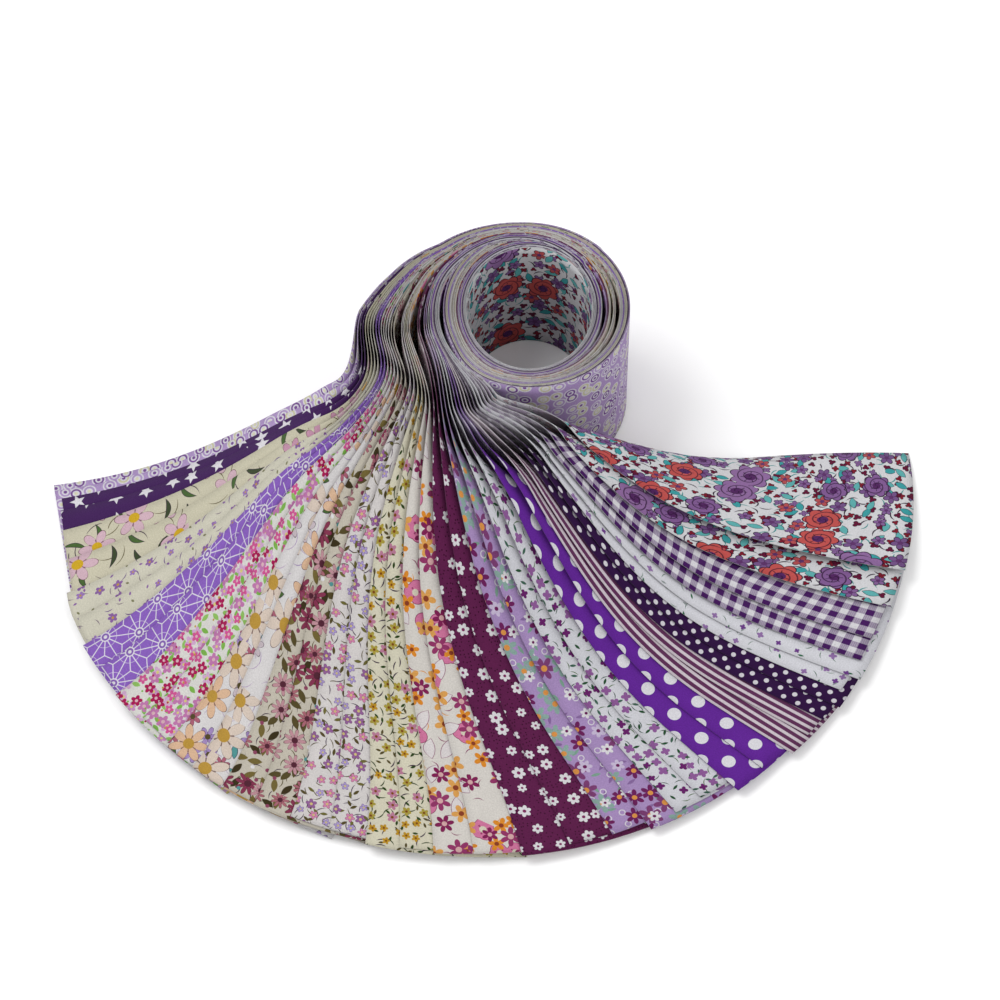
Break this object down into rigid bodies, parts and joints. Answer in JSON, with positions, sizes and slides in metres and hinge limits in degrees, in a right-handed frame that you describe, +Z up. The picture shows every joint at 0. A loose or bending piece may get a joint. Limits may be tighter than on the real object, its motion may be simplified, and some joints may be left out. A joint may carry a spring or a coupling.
{
  "type": "roll of cotton fabric strips",
  "caption": "Precut patchwork cotton strips, wound together into a roll that stands on edge, with their loose ends fanned out and overlapping over the table in front",
  "frame": {"origin": "centre of the bounding box at table level", "axes": "+Z is up from the table, -Y points from the roll toward the front of the fan, +X runs to the right along the width of the fan"},
  "size_m": [0.3608, 0.2672, 0.0657],
  "materials": {
    "roll_edges": "matt cut edges of printed cotton",
    "lilac_oval": "matt lilac cotton with pale ovals in purple rings",
    "purple_star": "matt deep purple cotton with white stars",
    "cream_lily": "matt cream cotton with mauve blossoms and green leaves",
    "cream_sprig": "matt cream cotton with tiny purple flowers",
    "lilac_lattice": "matt lilac cotton with thin white star lattice",
    "magenta_posy": "matt white cotton with magenta flowers and green leaves",
    "peach_daisy": "matt white cotton with outlined peach daisies",
    "olive_leaf": "matt off-white cotton crowded with olive leaves and dusty rose daisies",
    "lavender_posy": "matt white cotton with pink and lavender flowers",
    "mustard_sprig": "matt pale yellow cotton with mustard flowers and dark sprigs",
    "orange_paisley": "matt off-white cotton with orange and plum flowers and paisleys",
    "plum_flower": "matt plum cotton with small white flowers",
    "lilac_blossom": "matt lilac cotton with white, plum and green flowers",
    "plum_berry": "matt greyish white cotton with plum berries and sprigs",
    "purple_dot": "matt vivid purple cotton with white spots",
    "plum_stripe": "matt cotton striped plum and pinkish white",
    "dark_dot": "matt dark purple cotton with small white dots",
    "white_bud": "matt white cotton with tiny purple buds",
    "purple_gingham": "matt purple and white gingham cotton",
    "rose_floral": "matt white cotton with purple and coral roses and teal leaves"
  },
  "bodies": {
    "root": {"roll": "roll_edges", "lilac_oval_a": "lilac_oval", "lilac_oval_b": "lilac_oval", "purple_star_a": "purple_star", "purple_star_b": "purple_star", "cream_lily_a": "cream_lily", "cream_lily_b": "cream_lily", "cream_sprig_a": "cream_sprig", "cream_sprig_b": "cream_sprig", "lilac_lattice_a": "lilac_lattice", "lilac_lattice_b": "lilac_lattice", "magenta_posy_a": "magenta_posy", "magenta_posy_b": "magenta_posy", "peach_daisy_a": "peach_daisy", "peach_daisy_b": "peach_daisy", "olive_leaf_a": "olive_leaf", "olive_leaf_b": "olive_leaf", "lavender_posy_a": "lavender_posy", "lavender_posy_b": "lavender_posy", "mustard_sprig_a": "mustard_sprig", "mustard_sprig_b": "mustard_sprig", "orange_paisley_a": "orange_paisley", "orange_paisley_b": "orange_paisley", "plum_flower_a": "plum_flower", "plum_flower_b": "plum_flower", "lilac_blossom_a": "lilac_blossom", "lilac_blossom_b": "lilac_blossom", "plum_berry_a": "plum_berry", "plum_berry_b": "plum_berry", "purple_dot_a": "purple_dot", "purple_dot_b": "purple_dot", "plum_stripe_a": "plum_stripe", "plum_stripe_b": "plum_stripe", "dark_dot_a": "dark_dot", "dark_dot_b": "dark_dot", "white_bud_a": "white_bud", "white_bud_b": "white_bud", "purple_gingham_a": "purple_gingham", "purple_gingham_b": "purple_gingham", "rose_floral_a": "rose_floral", "rose_floral_b": "rose_floral"}
  },
  "joints": []
}
